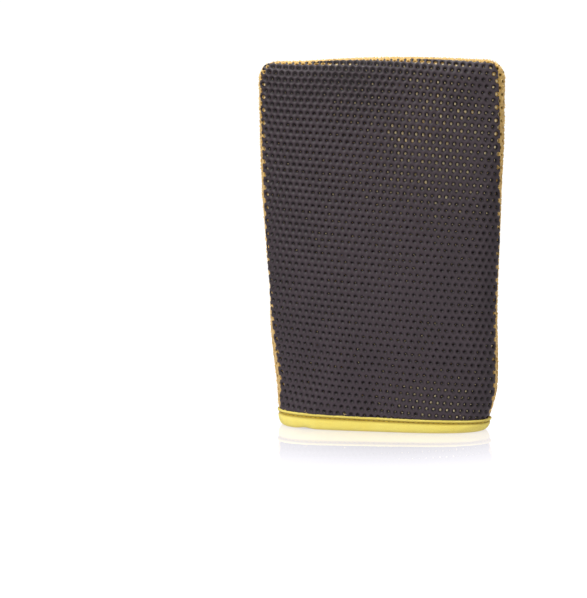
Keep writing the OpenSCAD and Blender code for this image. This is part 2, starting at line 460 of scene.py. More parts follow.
# %% One panel of the pouch
class Side:
    """One panel of the pouch: where its flat cloth lies, and which way is outwards there."""

    def __init__(self, moved, front):
        rows, self.b_grid, self.length = side_rows(moved, front)
        self.place, self.left, self.right = wrapped_table(rows)
        along, up = np.gradient(self.place, axis=1), np.gradient(self.place, axis=0)
        out = np.cross(along, up)
        self.out = out / np.maximum(np.linalg.norm(out, axis=-1, keepdims=True), 1e-12)

    def look_up(self, table, a, b):
        i = np.clip((b - self.b_grid[0]) / STEP, 0, len(self.b_grid) - 1.001)
        j = np.clip((a - A_GRID[0]) / STEP, 0, len(A_GRID) - 1.001)
        i0, j0 = i.astype(int), j.astype(int)
        fi, fj = (i - i0)[:, None], (j - j0)[:, None]
        low = table[i0, j0] * (1 - fj) + table[i0, j0 + 1] * fj
        high = table[i0 + 1, j0] * (1 - fj) + table[i0 + 1, j0 + 1] * fj
        return low * (1 - fi) + high * fi

    def reach(self, b):
        """How far the left and right seams are from the middle line."""
        return np.interp(b, self.b_grid, self.left), np.interp(b, self.b_grid, self.right)

    def by_seam(self, b, sign, beyond):
        """A place beyond the left (sign -1) or right (sign 1) seam, or short of it if beyond is negative."""
        return sign * (self.reach(b)[0 if sign < 0 else 1] + beyond)

    def wrap(self, flat):
        """Flat points (a, b, height over the cloth's outer face) become points on the pouch."""
        place = self.look_up(self.place, flat[:, 0], flat[:, 1])
        out = self.look_up(self.out, flat[:, 0], flat[:, 1])
        out /= np.maximum(np.linalg.norm(out, axis=1, keepdims=True), 1e-9)
        height = np.where(flat[:, 2] < 0, flat[:, 2] * squeeze(place[:, 2]), flat[:, 2])
        height -= stitch_pull(place[:, 2]) * (1 + np.minimum(flat[:, 2], 0) / HALF_STACK)
        return place + out * height[:, None]


front_side, back_side = Side(settled_front, True), Side(settled_back, False)
print("The front cloth is", round(front_side.length / MM, 1), "mm long from the mouth to the closed end")


# %% [markdown]
# ## The knit's pattern
#
# Cloth and clay share one pattern: eyelets in rows, each row moved half an eyelet sideways, 4.4 mm apart. One
# cell is modelled and the Array modifier repeats it, first into a pair of rows, then along and up. The
# cloth was cut a little off its grain, so the rows slope.

# %% One cell
PITCH, ROW, SLOPE = 4.45 * MM, 4.3 * MM, -0.07
SIDES = 12


def make_cell(name, rings):
    """A hexagonal cell: each ring is the face extruded and drawn in, and the last one is left open as the hole."""
    select_only()
    bpy.ops.mesh.primitive_circle_add(vertices=SIDES // 2, radius=1, fill_type="NOTHING")
    cell = bpy.context.object
    cell.name = name
    edit(cell)
    bpy.ops.transform.resize(value=(PITCH / 2 / math.cos(math.pi / 6), ROW / 1.5, 1))
    bpy.ops.mesh.subdivide(number_cuts=1)
    bpy.ops.mesh.edge_face_add()
    for scale, drop in rings:
        bpy.ops.mesh.extrude_region_move(TRANSFORM_OT_translate={"value": (0, 0, -drop * MM)})
        bpy.ops.transform.resize(value=(scale, scale, 1))
    bpy.ops.mesh.select_mode(type="FACE")
    bpy.ops.mesh.select_face_by_sides(number=SIDES, type="EQUAL", extend=False)
    bpy.ops.mesh.delete(type="ONLY_FACE")
    leave_edit()
    close_underneath(cell)
    return cell


def close_underneath(cell):
    """A last ring leads from the hole's foot back out to below the border."""
    foot = len(cell.data.vertices) - SIDES
    for edge in cell.data.edges:
        edge.select = min(edge.vertices) >= foot
    bpy.ops.object.mode_set(mode="EDIT")
    bpy.ops.mesh.select_mode(type="EDGE")
    bpy.ops.mesh.extrude_edges_move()
    leave_edit()
    rings = points_of(cell).reshape(-1, SIDES, 3)
    angle = np.arctan2(rings[..., 1], rings[..., 0])
    for i, turn in enumerate(angle[-1]):
        rings[-1, i] = rings[0, nearest_angle(angle[0], turn)] * (1, 1, 0)
    set_points(cell, rings.reshape(-1, 3))


def nearest_angle(angles, turn):
    """Which of the angles is nearest to a turn, the short way round."""
    return int(np.argmin(np.abs(np.angle(np.exp(1j * (angles - turn))))))


# %% From one cell to a sheet
FIRST_ROW = 1.2 * MM


def repeat_cell(cell, columns, pairs):
    """Repeats the cell over a sheet, and gives its points cell by cell, the cells' centres and their angles."""
    per_cell = len(cell.data.vertices)
    for name, count, step in (
        ("next_row", 2, (PITCH / 2, ROW, 0)),
        ("along", columns, (PITCH, 0, 0)),
        ("upwards", pairs, (0, 2 * ROW, 0)),
    ):
        array = cell.modifiers.new(name, "ARRAY")
        array.use_relative_offset = False
        array.use_constant_offset = True
        array.constant_offset_displace = step
        array.count = count
    apply_modifiers(cell)
    points = points_of(cell).reshape(-1, per_cell, 3)
    points[..., 0] -= (columns // 2) * PITCH
    points[..., 1] += FIRST_ROW
    centres = points[:, :SIDES, :2].mean(axis=1)
    from_centre = points[0, :, :2] - centres[0]
    return points, centres, np.arctan2(from_centre[:, 1], from_centre[:, 0])


def lattice_slope(points):
    """Slopes the rows, as on cloth that was cut off its grain."""
    return np.stack([points[:, 0], points[:, 1] + SLOPE * points[:, 0], points[:, 2]], axis=1)


def sloped_centres(centres):
    return lattice_slope(np.c_[centres, np.zeros(len(centres))])[:, :2]


def join_cells(sheet, keep, faces_per_cell):
    """Deletes the cells that aren't kept and joins the rest along their borders."""
    edit(sheet, "FACE", everything=False)
    leave_edit()
    sheet.data.polygons.foreach_set("select", np.repeat(~keep, faces_per_cell))
    bpy.ops.object.mode_set(mode="EDIT")
    bpy.ops.mesh.delete(type="FACE")
    bpy.ops.mesh.select_mode(type="VERT")
    bpy.ops.mesh.select_all(action="SELECT")
    bpy.ops.mesh.remove_doubles(threshold=2e-5)
    leave_edit()


def close_edge(sheet):
    """Joins the sheet's upper and lower outer edges."""
    edit(sheet, "EDGE", everything=False)
    bpy.ops.mesh.select_non_manifold(
        extend=False, use_wire=False, use_multi_face=False, use_non_contiguous=False, use_verts=False
    )
    bpy.ops.mesh.bridge_edge_loops()
    bpy.ops.mesh.select_all(action="SELECT")
    bpy.ops.mesh.normals_make_consistent(inside=False)
    leave_edit()


# %% What a finish reads from its cloth
def flat_uv(piece):
    """Keeps each point's place on the flat cloth, in tenths of a metre, as the piece's UV map."""
    layer = piece.data.uv_layers.new(name="flat_cloth") if not piece.data.uv_layers else piece.data.uv_layers[0]
    layer.name = "flat_cloth"
    corner = np.empty(len(piece.data.loops), dtype=np.int64)
    piece.data.loops.foreach_get("vertex_index", corner)
    layer.data.foreach_set("uv", np.ascontiguousarray(points_of(piece)[corner, :2] * 10 + 1.1).ravel())


def keep_values(piece, values):
    """Keeps a value for each point, from 0 in a hollow to 1 on a crest."""
    piece.data.attributes.new("height", "FLOAT", "POINT").data.foreach_set("value", values)


def keep_height(piece, low, high):
    """The value is the point's height over the cloth, from 0 at low mm to 1 at high mm."""
    keep_values(piece, np.clip((points_of(piece)[:, 2] / MM - low) / (high - low), 0, 1))


def smooth_noise(points, size, seed):
    """A soft random value from -1 to 1 for each flat point, the same for neighbours that share a corner."""
    return np.array([noise.noise(Vector((p[0] / size, p[1] / size, seed))) for p in points])


# %% [markdown]
# ## The clay coat
#
# The clay is pressed onto the knit and stays open over each eyelet, so it is a web with round holes. Near the
# closed end the web is a thin ridge round wide dishes. Lower down it is broad and smooth, and the holes are
# small pits. Here and there clay has filled a hole.
#
# The cell has a crest at its border, a shoulder, the throat of the hole, the hole's foot on the cloth, and an
# underside.

# %% The clay's cell
clay_face = make_cell("clay_coat", [(0.75, 0.1), (0.6, 0.4), (0.6, 0.6)])
CLAY_FACES = len(clay_face.data.polygons)
clay_cells, clay_centres, angle = repeat_cell(clay_face, 44, 31)
print("One clay cell has", CLAY_FACES, "faces; the sheet has", len(clay_cells), "cells")


# %% [markdown]
# No two holes in pressed clay are alike. A few soft patches say where the coat has wide dishes, open eyes or
# pressed pits, and a seeded draw gives each hole its own luck on top of that.

# %% Where the holes are wide, deep or filled
def zone(centres, a, b, wide, tall):
    """1 at (a, b), fading over wide and tall. a and wide are in mm, b and tall are shares of the length."""
    across, up = centres[:, 0] / MM, centres[:, 1] / front_side.length
    return np.exp(-(((across - a) / wide) ** 2) - ((up - b) / tall) ** 2)


rng = np.random.default_rng(7)
luck = rng.normal(0, 1, (len(clay_cells), 4))
filled = rng.random(len(clay_cells)) < 0.005
patchy = smooth_noise(clay_centres, 0.024, 3.3)
dish = zone(clay_centres, -32, 1.0, 52, 0.14) + 0.3 * zone(clay_centres, -75, 0.62, 28, 0.3)
dish = np.clip(dish + 0.25 * patchy, 0, 1)
open_eye = zone(clay_centres, 42, 0.78, 36, 0.17) + 0.75 * zone(clay_centres, 40, 0.08, 34, 0.09)
open_eye += 0.36 * zone(clay_centres, 10, 0.6, 45, 0.35)
open_eye = np.clip(open_eye + 0.3 * patchy + 0.12 * luck[:, 3], 0, 1)
pressed = zone(clay_centres, 25, 0.4, 85, 0.3)
flattened = 1 - 0.42 * pressed

# %% [markdown]
# The clay's outline is a convex shape with rounded upper corners. The pattern is cut straight through at this
# outline, as cloth is by shears, so the upper edge shows a row of teeth and the sides are scalloped.

# %% The clay's outline
def outline_cuts(corners):
    """A point and an outward direction for each side of a convex outline, given anticlockwise."""
    for (x0, y0), (x1, y1) in zip(corners, corners[1:] + corners[:1]):
        long = math.hypot(x1 - x0, y1 - y0)
        yield (x0, y0), ((y1 - y0) / long, -(x1 - x0) / long)


def side_line(share, margin, sign):
    """A corner of the outline, a margin short of a seam, at a share of the cloth's length."""
    b = front_side.length * share
    return float(front_side.by_seam(b, sign, -margin * MM)), b


CLAY_TOP = front_side.length - 5.6 * MM
right_edge = [side_line(0.0, 0.7, 1), side_line(0.5, 2.2, 1), side_line(0.92, 6.4, 1)]
left_edge = [side_line(0.92, 4.6, -1), side_line(0.45, 7.3, -1), side_line(0.0, 7.0, -1)]
right_corner = [(right_edge[-1][0] - x * MM, CLAY_TOP - y * MM) for x, y in ((0.6, 7.5), (3, 3), (8, 0.4))]
left_corner = [(left_edge[0][0] + x * MM, CLAY_TOP - y * MM) for x, y in ((9, -0.6), (3, 2), (0.6, 7))]
outline = [(right_edge[0][0], 8.3 * MM)] + right_edge[1:] + right_corner + left_corner + left_edge[:2]
outline.append((left_edge[2][0], 10.8 * MM))


def outside_by(centres):
    """How far each cell's centre lies outside the outline; a negative distance is inside."""
    spots = sloped_centres(centres)
    return np.max([(spots - point) @ np.array(outward) for point, outward in outline_cuts(outline)], axis=0)


outside = outside_by(clay_centres)
keep = outside < 3.2 * MM
print("The clay keeps about", int(keep.sum()), "cells,", int((keep & filled).sum()), "of them filled")

# %% [markdown]
# Every cell has the same rings, so one loop shapes all the cells at once, ring by ring: how far each ring reaches
# from the hole's centre, how tall it is drawn and how high it stands. The clay sags a little to one side. Along
# the outline the holes narrow to a rim.

# %% Shape every hole
CREST_HEIGHT, UNDERSIDE = 1.12, -0.05 * MM
rim = bell(outside, -0.8 * MM, 2.2 * MM) * np.clip(clay_centres[:, 1] / (10 * MM) - 1.5, 0, 1)
sag = np.clip(1 - dish - 0.8 * open_eye, 0, 1) * 0.42 * MM
throat = 0.97 - 0.17 * pressed + 0.75 * dish + 0.12 * open_eye + 0.08 * luck[:, 0]
foot = np.maximum(0.17 + 0.62 * open_eye + 0.08 * luck[:, 1], 0.08)
REACH = {
    1: lambda edge: edge + (1.5 * MM - edge) * (0.62 - 0.34 * dish),
    2: lambda edge: throat * MM * (1 - rim) + 1.6 * MM * rim,
    3: lambda edge: foot * MM * (1 - rim) + 1.45 * MM * rim,
}
LEVEL = {1: CREST_HEIGHT - 0.1 * dish, 2: 0.6 - 0.3 * dish, 3: -0.4 + 0.45 * dish * (1 - rim)}
WIDE = {1: 1, 2: 1, 3: 1 - 0.2 * open_eye * (1 - rim)}
TALL = {1: 1, 2: flattened, 3: flattened * (1 + 0.35 * open_eye * (1 - rim))}
SAG = {1: 0.0, 2: 0.55 * sag * (1 - rim), 3: sag * (1 - rim)}
border_reach = np.linalg.norm(clay_cells[0, :SIDES, :2] - clay_centres[0], axis=1)
for ring in REACH:
    filled_share, filled_height = 0.8 - 0.2 * ring, 1.05 - 0.1 * ring
    for i in range(SIDES * ring, SIDES * (ring + 1)):
        border = border_reach[nearest_angle(angle[:SIDES], angle[i])]
        reach = np.where(filled, border * filled_share, REACH[ring](border))
        clay_cells[:, i, 0] = clay_centres[:, 0] + math.cos(angle[i]) * reach * WIDE[ring] - SAG[ring]
        clay_cells[:, i, 1] = clay_centres[:, 1] + math.sin(angle[i]) * reach * TALL[ring] + SAG[ring] * 0.8
        clay_cells[:, i, 2] = np.where(filled, filled_height, LEVEL[ring]) * MM
for i in range(SIDES):
    upright_wall = abs(math.cos(angle[i])) > 0.97
    lift = smooth_noise(clay_cells[:, i], 0.006, 1.7) * 0.07
    lift += 0.14 * (smooth_noise(clay_cells[:, i], 0.09, 8.1) + 0.6 if upright_wall else 0)
    clay_cells[:, i, 2] = (CREST_HEIGHT + lift) * MM
clay_cells[:, 4 * SIDES :, 2] = UNDERSIDE
set_points(clay_face, clay_cells.reshape(-1, 3))
print("The holes' throats are", round(2 * float(throat.min()), 1), "to", round(2 * float(throat.max()), 1), "mm wide")


# %% [markdown]
# Bisect cuts straight through a mesh along a plane. One cut for each side of the outline trims the flat sheet,
# and each cut is closed with a face, so the coat stays solid.

# %% Trim the clay to its outline
def cut_away(piece, point, outward):
    """Cuts straight through the piece at a point, drops what is on the outward side and closes the cut."""
    edit(piece)
    bpy.ops.mesh.bisect(plane_co=point, plane_no=outward, use_fill=True, clear_outer=True, threshold=1e-7)
    leave_edit()


join_cells(clay_face, keep, CLAY_FACES)
set_points(clay_face, lattice_slope(points_of(clay_face)))
for point, outward in outline_cuts(outline):
    cut_away(clay_face, (*point, 0), (*outward, 0))
edit(clay_face)
bpy.ops.mesh.fill_holes(sides=0)
bpy.ops.mesh.normals_make_consistent(inside=False)
leave_edit()
flat_uv(clay_face)
# The height lets the clay finish paint shade in the holes and a highlight on the crests.
keep_height(clay_face, 0, 1.2)
set_points(clay_face, front_side.wrap(points_of(clay_face)))
finish_piece(clay_face, 70)

# %% [markdown]
# ## The eyelet knit
#
# The yellow knit is a web of yarn with the same lattice. Each eyelet has a raised ring of yarn round it. It is
# one sheet per side, and it passes round the side seams and the closed end into the seam allowance.


# %% The knit's cell and its two panels
def knit_panel(name, side, hole_size, crest_height, seed):
    """One side's knit, with eyelets of a given size in mm and yarn that stands a given height round them."""
    panel = make_cell(name, [(0.65, -0.1), (0.55, 0.5)])
    per_faces = len(panel.data.polygons)
    cells, centres, angle = repeat_cell(panel, 46, 32)
    chance = np.random.default_rng(seed).normal(0, 1, (len(cells), 3))
    size = (hole_size + 0.06 * chance[:, 0]) * MM
    stretch = 1.06 + 0.05 * chance[:, 1]
    for i in range(SIDES, 3 * SIDES):
        crest = i < 2 * SIDES
        reach = size + 0.62 * MM if crest else size
        cells[:, i, 0] = centres[:, 0] + math.cos(angle[i]) * reach
        cells[:, i, 1] = centres[:, 1] + math.sin(angle[i]) * reach * stretch
        cells[:, i, 2] = (crest_height if crest else -0.45) * MM
    for i in range(SIDES):
        cells[:, i, 2] = (-0.14 + 0.08 * smooth_noise(cells[:, i], 0.004, 5.1)) * MM
    cells[:, 3 * SIDES :, 2] = -1.1 * MM
    set_points(panel, cells.reshape(-1, 3))
    join_cells(panel, panel_shape(side, centres), per_faces)
    close_edge(panel)
    set_points(panel, lattice_slope(points_of(panel)))
    flat_uv(panel)
    # The height lets the knit finish paint shade low in the eyelets.
    keep_height(panel, -0.5, crest_height)
    set_points(panel, side.wrap(points_of(panel)))
    return finish_piece(panel, 70)


def panel_shape(side, centres):
    """Which cells make up the panel: it ends in the seam allowance, and its upper corners are left out."""
    a, b = sloped_centres(centres).T
    left, right = side.reach(b)
    keep = (a > -left - 3.0 * MM) & (a < right + 3.0 * MM)
    keep &= (b > 2.8 * MM) & (b < side.length + 2.6 * MM)
    return keep & ((b < side.length) | ((a > -left + 1 * MM) & (a < right - 1 * MM)))


front_mesh = knit_panel("front_eyelet_knit", front_side, 0.8, 0.1, 11)
back_mesh = knit_panel("back_eyelet_knit", back_side, 0.95, 0.4, 12)

# %% [markdown]
# ## Foam and lining
#
# Behind each knit lies a sheet of foam with rounded edges, cut short of the seams so that they stay thin. A
# smooth tricot lining covers the foam on the hand's side.


# %% Foam pads and linings
def flat_sheet(name, side, grid, inset, length, outer, thickness, rounded=0.0):
    """A sheet cut to one side's shape, from length[0] to length[1] up it, with its outer face at a given depth."""
    bpy.ops.mesh.primitive_grid_add(x_subdivisions=grid[0], y_subdivisions=grid[1], size=2)
    sheet = bpy.context.object
    sheet.name = name
    points = points_of(sheet)
    u, v = points[:, 0].copy(), (points[:, 1] + 1) / 2
    b = length[0] + (length[1] - length[0]) * v
    left, right = side.reach(b)
    a = np.where(u < 0, u * (left - inset), u * (right - inset))
    set_points(sheet, np.stack([a, b, 0 * a + outer], axis=1))
    thicken(sheet, thickness, -1)
    flat_uv(sheet)
    points = points_of(sheet)
    left, right = side.reach(points[:, 1])
    to_edge = np.minimum.reduce([points[:, 0] + left - inset, right - inset - points[:, 0], length[1] - points[:, 1]])
    ease = np.clip(1 - to_edge / (3 * MM), 0, 1) ** 2 * rounded
    middle = outer - thickness / 2
    points[:, 2] += (middle - points[:, 2]) * ease
    set_points(sheet, side.wrap(points))
    return finish_piece(sheet)


def thicken(piece, thickness, offset):
    solid = piece.modifiers.new("thickness", "SOLIDIFY")
    solid.thickness = thickness
    solid.offset = offset
    apply_modifiers(piece)


def foam_pad(name, side):
    length = (1.3 * MM, side.length - 5 * MM)
    return flat_sheet(name, side, (100, 120), 4.5 * MM, length, -0.95 * MM, 3.6 * MM, rounded=0.5)


def lining_cloth(name, side):
    return flat_sheet(name, side, (120, 150), 0.0, (1.1 * MM, side.length), -4.75 * MM, 0.4 * MM)


front_pad = foam_pad("front_foam_pad", front_side)
back_pad = foam_pad("back_foam_pad", back_side)
front_lining = lining_cloth("front_lining_cloth", front_side)
back_lining = lining_cloth("back_lining_cloth", back_side)

# %% [markdown]
# ## The bound mouth
#
# A strip of knitted tape is folded over the raw edges of all the layers and sewn down with one row of stitches.
# The stitches pull a groove into it: above the groove a narrow lip stands up, below it the tape puffs out. The
# strip is a flat grid that is folded by its section and run round the mouth. Its end overlaps its start at the
# back.

# %% The tape's section
LAYERS = 5.2 * MM * 0.7
OUTER_LEG = np.array(
    [(0.66, 10.15), (1.02, 9.95), (1.14, 9.5), (0.98, 9.05), (0.42, 8.6), (-0.3, 8.2), (0.16, 7.75), (1.02, 6.95),
     (1.5, 5.6), (1.66, 4.1), (1.62, 2.7), (1.35, 1.6), (0.82, 0.8), (0.1, 0.45), (-0.8, 0.4)]
) * MM


def smooth_path(points, count):
    """A smooth line through the given points, evenly spaced."""
    p = np.concatenate([[2 * points[0] - points[1]], points, [2 * points[-1] - points[-2]]])
    t = np.linspace(0, 1, 12, endpoint=False)[:, None]
    line = []
    for i in range(1, len(p) - 2):
        line.append(0.5 * (2 * p[i] + (p[i + 1] - p[i - 1]) * t
                           + (2 * p[i - 1] - 5 * p[i] + 4 * p[i + 1] - p[i + 2]) * t**2
                           + (3 * p[i] - p[i - 1] - 3 * p[i + 1] + p[i + 2]) * t**3))
    line = np.concatenate(line + [points[-1:]])
    s = distances(line)
    return points_at(np.linspace(0, s[-1], count), s, line), s[-1]


inner_leg = OUTER_LEG[::-1] * (-1, 1) - (LAYERS, 0)
section, tape_width = smooth_path(np.concatenate([OUTER_LEG, inner_leg]), 61)


# %% The tape's path round the mouth
def mouth_loop(z, count):
    """The mouth's outline at one height, evenly spaced from the left seam round the front, and its outward way."""
    q = -np.cos(np.linspace(0, math.pi, 241))
    half = half_form(q, np.full_like(q, z))
    loop = np.concatenate([half * (1, -1, 1), half[::-1], half[:1] * (1, -1, 1)])
    s = distances(loop)
    ring = points_at(np.linspace(0, s[-1], count, endpoint=False), s, loop)
    run = np.roll(ring, -2, axis=0) - np.roll(ring, 2, axis=0)
    out = np.stack([run[:, 1], -run[:, 0], np.zeros(count)], axis=1)
    return ring, out / np.linalg.norm(out, axis=1, keepdims=True), s[-1]


def tape_tall(places):
    """The tape was sewn on a little lower on the right than on the left: its height as a share of the section's."""
    return 0.9 - 0.14 * np.clip(places[:, 0] / (68 * MM), -1, 1)


RING = 960
mouth_rings = [mouth_loop(float(z), RING) for z in section[:, 1]]
ROUND = mouth_loop(GROOVE, RING)[2]
STITCH_STEP = 3.2 * MM
STITCHES = round(ROUND / STITCH_STEP)
print("The tape is", round(tape_width / MM, 1), "mm wide and the mouth", round(ROUND / MM), "mm round")


def around(values, turn):
    """Values of a closed ring at shares of a turn."""
    at = (turn % 1.0) * RING
    i = at.astype(int) % RING
    f = (at - np.floor(at))[:, None]
    return values[i] * (1 - f) + values[(i + 1) % RING] * f


# %% [markdown]
# The tape isn't stiff. It sinks at each stitch and puffs between them, bulges softly along its length, and lies
# over its own start where it overlaps. These shifts are worked out for each line along the tape, and a grid
# of points is then moved line by line from flat to folded.

# %% Fold the tape round the mouth
ALONG, START, OVERLAP = 480, 0.62, 0.035
LAP_RUN, UNDER_RUN = 0.006, 0.008
turn = START + np.linspace(0, 1 + OVERLAP, ALONG + 1)
stitch = np.cos(2 * math.pi * STITCHES * turn)
slow = np.array(
    [noise.noise(Vector((2.3 * math.cos(t), 2.3 * math.sin(t), 4.0))) for t in 2 * math.pi * turn]
)
lap = np.clip((turn - START - 1 + LAP_RUN) / LAP_RUN, 0, 1) * 0.9 * MM
under = np.clip((START + OVERLAP + UNDER_RUN - turn) / UNDER_RUN, 0, 1)


def swell(z, outer):
    """How far the tape stands off its folded section along one line."""
    in_groove, in_puff = bell(z, GROOVE, 0.9 * MM), bell(z, 4.0 * MM, 2.6 * MM)
    soft = np.array([noise.noise(Vector((t * 60, z / (3.5 * MM), 2.0 if outer else 9.0))) for t in turn])
    sewn = -0.13 * in_groove * (1 + stitch) + 0.05 * stitch * (1 - in_groove)
    loose = sewn + 0.13 * soft + 0.12 * slow * in_puff
    return loose * MM if z > 1.0 * MM else loose * MM * 0.2


bpy.ops.mesh.primitive_grid_add(x_subdivisions=ALONG, y_subdivisions=len(section) - 1, size=1)
binding = bpy.context.object
binding.name = "mouth_binding_tape"
flat_x, flat_y = np.meshgrid((turn - START) * ROUND, np.linspace(0, tape_width, len(section)))
set_points(binding, np.stack([flat_x, flat_y, 0 * flat_x], axis=-1).reshape(-1, 3))
flat_uv(binding)
tape = np.empty((len(section), ALONG + 1, 3))
for line, (offset, z), (ring, out, _) in zip(tape, section, mouth_rings):
    outer = offset > -LAYERS / 2
    push = (swell(z, outer) + lap) * (1 if outer else -1)
    line[:] = around(ring, turn) + around(out, turn) * (offset + push)[:, None]
    line[:, 2] = z * tape_tall(line) + 0.38 * MM * slow * (z / (10 * MM))
    line[:, 2] += under * 1.0 * MM * bell(z, 0, 2.4 * MM)
    lifted = bell(line[:, 0], -47 * MM, 4.5 * MM) * (line[:, 1] < 0)
    line[:, 2] += 0.9 * MM * lifted * bell(z, 0, 3 * MM)
set_points(binding, tape.reshape(-1, 3))
thicken(binding, 0.75 * MM, 0)
edit(binding)
bpy.ops.mesh.normals_make_consistent(inside=False)
leave_edit()
at_tape = points_of(binding)
at_tape[:, 2] = np.maximum(at_tape[:, 2], 0.0)
set_points(binding, at_tape)
finish_piece(binding, 60)
# The groove's value lets the tape finish paint a darker, saturated shade along the groove.
keep_values(binding, 1 - bell(at_tape[:, 2] / tape_tall(at_tape), GROOVE, 1.1 * MM))

# %% [markdown]
# ## Stitches
#
# One stitch is a short length of twisted thread that dives into the cloth at both ends. It is modelled once, and
# each copy is laid along its seam.


# %% One stitch
def divide_lengthwise(piece, longest, cuts):
    """Cuts the piece's upright edges that are longer than this, so that it can bend."""
    edit(piece, "EDGE", everything=False)
    leave_edit()
    for edge in piece.data.edges:
        low, high = (piece.data.vertices[i].co.z for i in edge.vertices)
        edge.select = abs(low - high) > longest
    bpy.ops.object.mode_set(mode="EDIT")
    bpy.ops.mesh.subdivide(number_cuts=cuts)
    leave_edit()


def one_stitch(length, radius):
    """A length of twisted thread along x, thinner towards its ends, which dip into the cloth."""
    select_only()
    bpy.ops.mesh.primitive_cylinder_add(vertices=8, radius=radius, depth=length, end_fill_type="NGON")
    stitch = bpy.context.object
    divide_lengthwise(stitch, length / 2, 5)
    points = points_of(stitch)
    share = points[:, 2] / (length / 2)
    twist = share * 1.9
    across = points[:, :2] * (1 - 0.55 * np.abs(share) ** 4)[:, None]
    lobed = 1 + 0.14 * np.cos(2 * np.arctan2(points[:, 1], points[:, 0]))
    across *= lobed[:, None]
    x = across[:, 0] * np.cos(twist) - across[:, 1] * np.sin(twist)
    y = across[:, 0] * np.sin(twist) + across[:, 1] * np.cos(twist)
    dive = -0.32 * MM * np.abs(share) ** 3
    set_points(stitch, np.stack([points[:, 2], x, y + dive], axis=1))
    return stitch


# %% Many copies as one piece
def join_copies(name, piece, places, axes, sizes):
    """Copies the piece to each place at its size, turned to three axes of its own, and joins the copies."""
    copies = []
    for place, turned, size in zip(places, axes, sizes):
        copy = piece.copy()
        copy.data = piece.data.copy()
        bpy.context.collection.objects.link(copy)
        set_points(copy, np.array(place) + (points_of(copy) * size) @ turned)
        copies.append(copy)
    bpy.data.objects.remove(piece)
    select_only(*copies)
    bpy.ops.object.join()
    joined = bpy.context.object
    joined.name = name
    return finish_piece(joined)


def stitch_axes(along, out):
    along, out = Vector(along).normalized(), Vector(out).normalized()
    side = out.cross(along).normalized()
    return np.array([along[:], side[:], along.cross(side)[:]])


def lay_stitches(name, places, alongs, outs, length=2.75 * MM, radius=0.24 * MM):
    """A stitch at each place; along is its run and out the way it stands off the cloth."""
    axes = [stitch_axes(along, out) for along, out in zip(alongs, outs)]
    return join_copies(name, one_stitch(length, radius), places, axes, np.ones(len(places)))


# %% [markdown]
# Four rows are sewn: one through the binding, seen outside and again inside the mouth, one that joins the two
# knits and one that joins the linings. A machine keeps its stitches even, but not perfectly, so each stitch of the
# binding has its own small seeded slip.

# %% The rows of stitches
def ring_stitches(name, offset, z, seed):
    ring, out, _ = mouth_loop(z, RING)
    luck = np.random.default_rng(seed).normal(0, 1, (STITCHES, 2))
    turn = (np.arange(STITCHES) + 0.5 + 0.03 * luck[:, 0]) / STITCHES
    places = around(ring, turn) + around(out, turn) * offset
    places[:, 2] = z * tape_tall(places) + 0.05 * MM * luck[:, 1]
    run = around(np.roll(ring, -3, axis=0) - np.roll(ring, 3, axis=0), turn)
    outs = around(out, turn) * (1 if offset > 0 else -1)
    return lay_stitches(name, places, run, outs)


def seam_stitches(name, beyond):
    """Stitches that lie in the allowance, a given way beyond the seam, up one side and down the other."""
    up = np.linspace(12 * MM, front_side.length, 200)
    left, right = (front_side.look_up(front_side.place, front_side.by_seam(up, sign, beyond), up) for sign in (-1, 1))
    path = np.concatenate([left, right[::-1]]) * (1, 0, 1)
    s = distances(path)
    at = np.arange(STITCH_STEP / 2, s[-1], STITCH_STEP)
    run = points_at(at + 1 * MM, s, path) - points_at(at - 1 * MM, s, path)
    outs = np.tile((0.0, 1.0, 0.0), (len(at), 1))
    return lay_stitches(name, points_at(at, s, path), run, outs, 2.6 * MM, 0.22 * MM)


topstitch = ring_stitches("binding_topstitch", 0.5 * MM, GROOVE, 21)
inside_stitch = ring_stitches("binding_inside_stitch", -(LAYERS + 0.5 * MM), GROOVE, 22)
shell_thread = seam_stitches("shell_seam_stitches", 1.75 * MM)
lining_thread = seam_stitches("lining_seam_stitches", 4.9 * MM)

# %% [markdown]
# ## Fuzz
#
# Where the knit turns round the seams, its yarn stands out in little loops, and a few stray ends stick out above
# the binding. A loop is part of a thin torus and a stray end is a bent, tapered thread. Each is modelled once and
# copied hundreds of times, so both have only a few faces.


# %% One loop and one stray end
def upright_axes(out, turn):
    """Three axes: the last is the way outwards, and the other two are turned about it."""
    up = Vector(out).normalized()
    side = up.orthogonal().normalized()
    first = side * math.cos(turn) + up.cross(side) * math.sin(turn)
    return np.array([first[:], up.cross(first)[:], up[:]])


def one_loop():
    select_only()
    bpy.ops.mesh.primitive_torus_add(
        major_radius=0.5 * MM, minor_radius=0.13 * MM, major_segments=10, minor_segments=4, rotation=(QUARTER, 0, 0)
    )
    loop = bpy.context.object
    bpy.ops.object.transform_apply(rotation=True)
    cut_away(loop, (0, 0, -0.15 * MM), (0, 0, -1))
    return loop


def one_stray_end():
    select_only()
    bpy.ops.mesh.primitive_cylinder_add(vertices=4, radius=0.09 * MM, depth=2.2 * MM, location=(0, 0, 0.9 * MM))
    end = bpy.context.object
    bpy.ops.object.transform_apply(location=True)
    divide_lengthwise(end, 1 * MM, 4)
    points = points_of(end)
    share = np.clip(points[:, 2] / (2 * MM), 0, 1)
    points[:, :2] *= (1 - 0.6 * share)[:, None]
    points[:, 0] += 0.8 * MM * share**2
    set_points(end, points)
    return end


# %% Loops along the seams
rng = np.random.default_rng(31)


def rim_places(side, count, depth):
    """Random places on one panel's knit within a small way of the side seams and the closed end."""
    b = rng.uniform(13 * MM, side.length - 2 * MM, count)
    left, right = side.reach(b)
    on_left = rng.random(count) < 0.5
    a = np.where(on_left, -left + rng.random(count) ** 2 * depth, right - rng.random(count) ** 2 * depth)
    top = rng.random(count) < 0.34
    a[top] = rng.uniform(-72 * MM, 72 * MM, int(top.sum()))
    b[top] = side.length - rng.random(int(top.sum())) ** 1.5 * depth * 1.2
    return side.wrap(np.c_[a, b, 0 * a + 0.02 * MM]), side.look_up(side.out, a, b)


